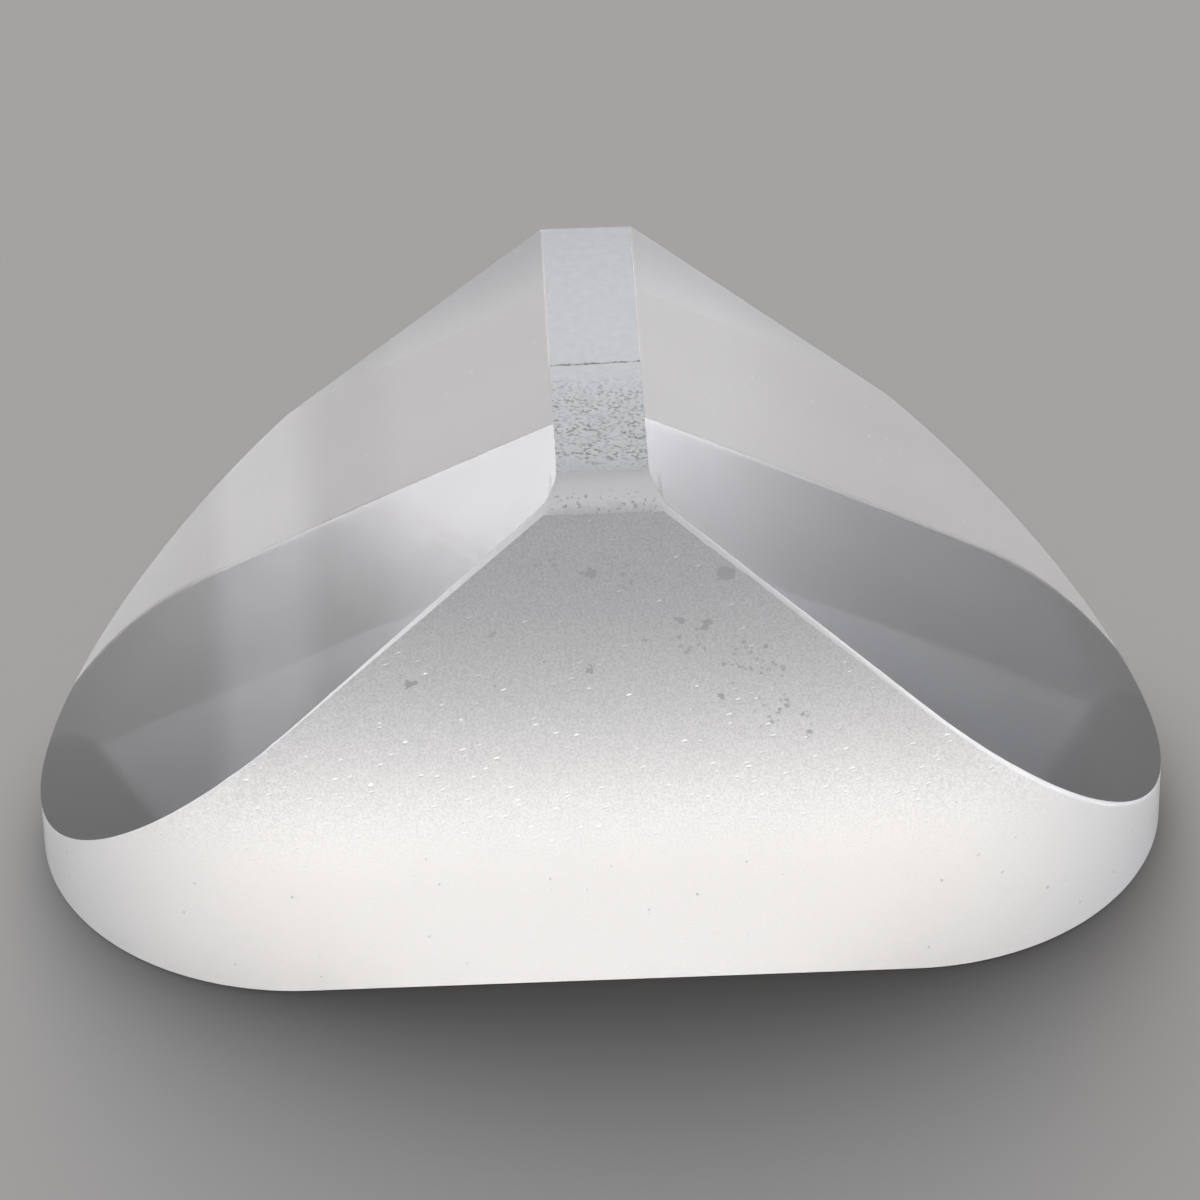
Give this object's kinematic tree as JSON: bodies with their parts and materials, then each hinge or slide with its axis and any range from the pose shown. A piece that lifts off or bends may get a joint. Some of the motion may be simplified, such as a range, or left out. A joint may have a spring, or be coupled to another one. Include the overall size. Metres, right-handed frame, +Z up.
{
  "type": "right-angle glass prism",
  "caption": "Right-angle prism of optical glass with polished hypotenuse and roof faces, ground walls, rounded ends and a ground ridge flat. It turns a beam back on itself by inner reflection.",
  "frame": {"origin": "middle of the hypotenuse face, which is the face that the prism lies on", "axes": "+X along the length of the hypotenuse face, +Y along the ridge towards the rear wall, +Z up to the ridge"},
  "size_m": [0.038, 0.018, 0.0195],
  "materials": {
    "optical_glass": "polished hypotenuse and roof faces, fine ground walls, ridge and bevels"
  },
  "bodies": {
    "root": {"prism": "optical_glass"}
  },
  "joints": []
}
